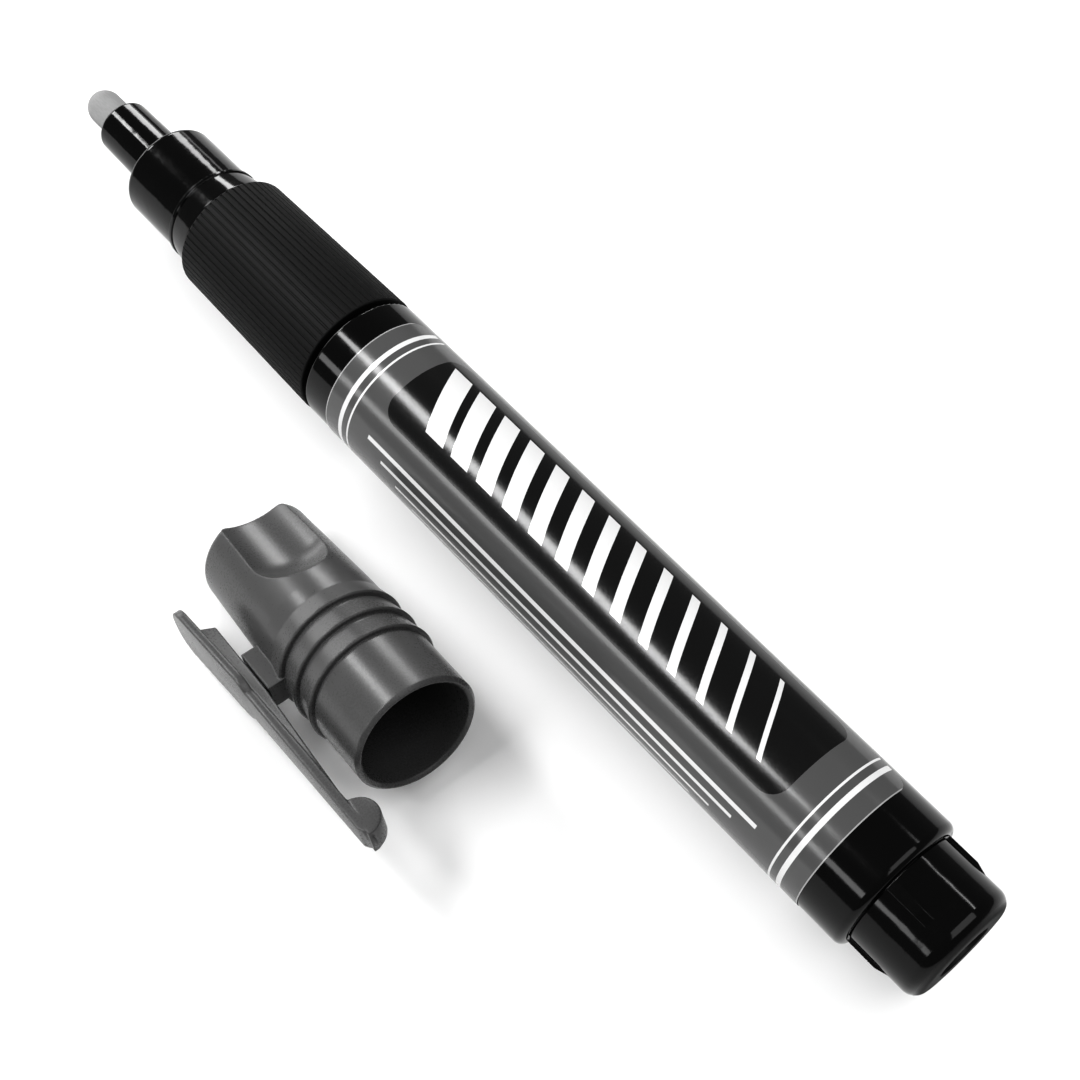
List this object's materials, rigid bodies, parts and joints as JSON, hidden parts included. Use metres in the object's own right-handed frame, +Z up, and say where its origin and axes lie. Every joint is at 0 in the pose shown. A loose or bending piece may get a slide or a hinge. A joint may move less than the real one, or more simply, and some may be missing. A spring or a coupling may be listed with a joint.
{
  "type": "paint marker",
  "caption": "Round paint marker with a bullet nib on a sprung valve, ribbed grip, label wrap, loose mixing ball and tail plug, lying uncapped beside its clip cap.",
  "frame": {"origin": "on the marker's axis, halfway along the uncapped marker", "axes": "+X along the marker from the nib to the tail plug, +Z up from the surface it lies on, the cap on the -Y side"},
  "size_m": [0.137, 0.0417, 0.0163],
  "materials": {
    "nib_felt": "pressed felt, dry",
    "gloss_black": "polished moulding",
    "barrel_black": "polished tube",
    "valve_plastic": "natural moulding",
    "valve_seal": "soft washer",
    "spring_steel": "drawn wire",
    "grip_elastomer": "matte, fine lengthwise ribs",
    "label_wrap": "printed film",
    "ball_steel": "polished",
    "cap_plastic": "satin moulding",
    "cap_lining": "dark inner cup"
  },
  "bodies": {
    "marker": {"barrel": "barrel_black", "label_film": "label_wrap", "grip_sleeve": "grip_elastomer", "front_collar": "gloss_black", "nib_holder": "gloss_black", "valve_seat": "valve_plastic", "spring_cage": "valve_plastic", "valve_spring": "spring_steel", "rear_plug": "gloss_black"},
    "writing_core": {"nib": "nib_felt", "valve_rod": "valve_plastic", "valve_gasket": "valve_seal"},
    "ball": {"mixing_ball": "ball_steel"},
    "cap": {"cap_shell": "cap_plastic", "cap_liner": "cap_lining"},
    "clip": {"cap_clip": "cap_plastic"}
  },
  "joints": [
    {"name": "nib_press", "type": "slide", "parent": "marker", "child": "writing_core", "axis": [1, 0, 0], "range_m": [0, 0.0015], "stiffness_N_per_m": 300, "deforming": ["valve_spring"]},
    {"name": "ball_roll", "type": "slide", "parent": "marker", "child": "ball", "axis": [1, 0, 0], "range_m": [-0.027, 0.034]},
    {"name": "cap_lift", "type": "slide", "parent": "marker", "child": "cap", "axis": [0, 0, 1], "range_m": [0, 0.08]},
    {"name": "clip_flex", "type": "hinge", "parent": "cap", "child": "clip", "pos_m": [0.00543, -0.03104, -0.00127], "axis": [0.2243, -0.0165, -0.9744], "range_deg": [0, 2.5], "stiffness_Nm_per_rad": 0.05}
  ]
}
